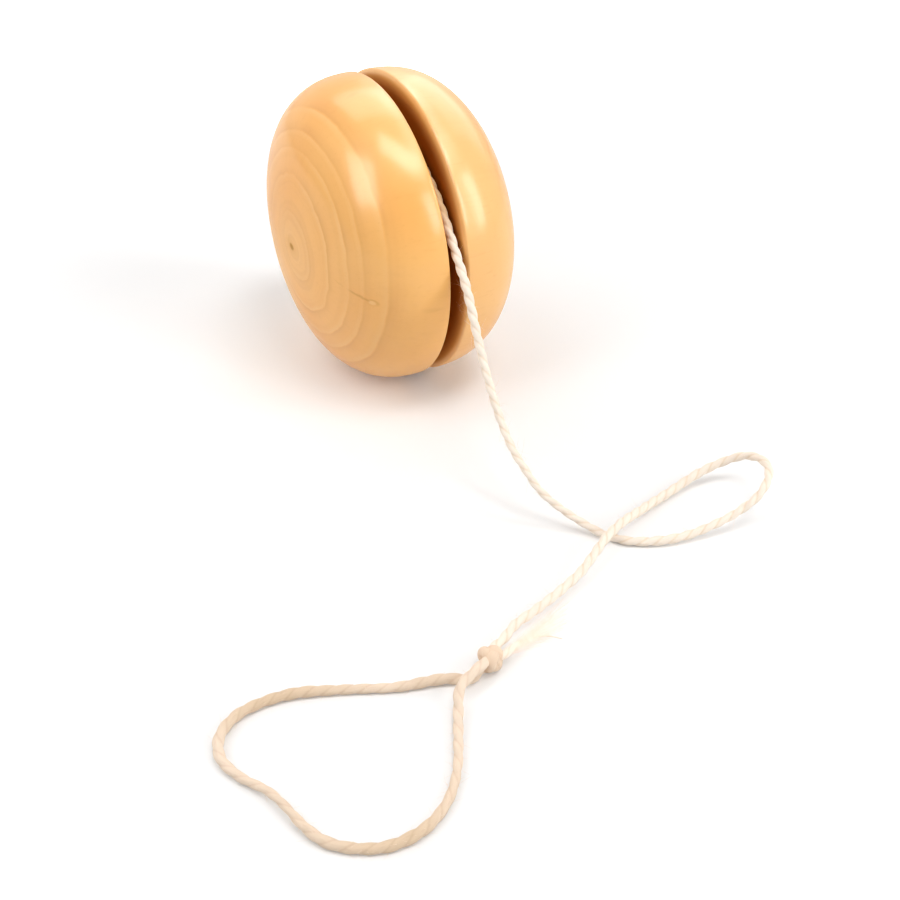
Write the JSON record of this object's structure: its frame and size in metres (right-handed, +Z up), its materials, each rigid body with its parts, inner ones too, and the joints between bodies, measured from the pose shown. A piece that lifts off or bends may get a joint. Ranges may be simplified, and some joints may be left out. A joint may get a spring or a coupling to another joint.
{
  "type": "wooden yo-yo",
  "caption": "Turned wooden yo-yo with domed halves on a dowel axle, part wound with a twisted cotton string that ends in a knotted finger loop.",
  "frame": {"origin": "on the surface that the yo-yo stands on, under the middle of the axle", "axes": "+Z up, +Y along the axle from the left half to the right half, +X the way the string leaves the gap"},
  "size_m": [0.1265, 0.0978, 0.0549],
  "materials": {
    "left_half": "clear satin lacquer",
    "right_half": "clear satin lacquer",
    "axle": "bare wood",
    "string_winding": "twisted cotton",
    "string_lead": "twisted cotton",
    "finger_knot": "twisted cotton",
    "finger_loop": "twisted cotton",
    "string_tail": "twisted cotton"
  },
  "bodies": {
    "string": {"string_winding": "string_winding", "string_lead": "string_lead", "finger_knot": "finger_knot", "finger_loop": "finger_loop", "string_tail": "string_tail"},
    "spool": {"left_half": "left_half", "right_half": "right_half", "axle": "axle"}
  },
  "joints": [
    {"name": "spool_spin", "type": "hinge", "parent": "string", "child": "spool", "pos_m": [0, 0, 0.02744], "axis": [0, 1, 0], "continuous": true}
  ]
}
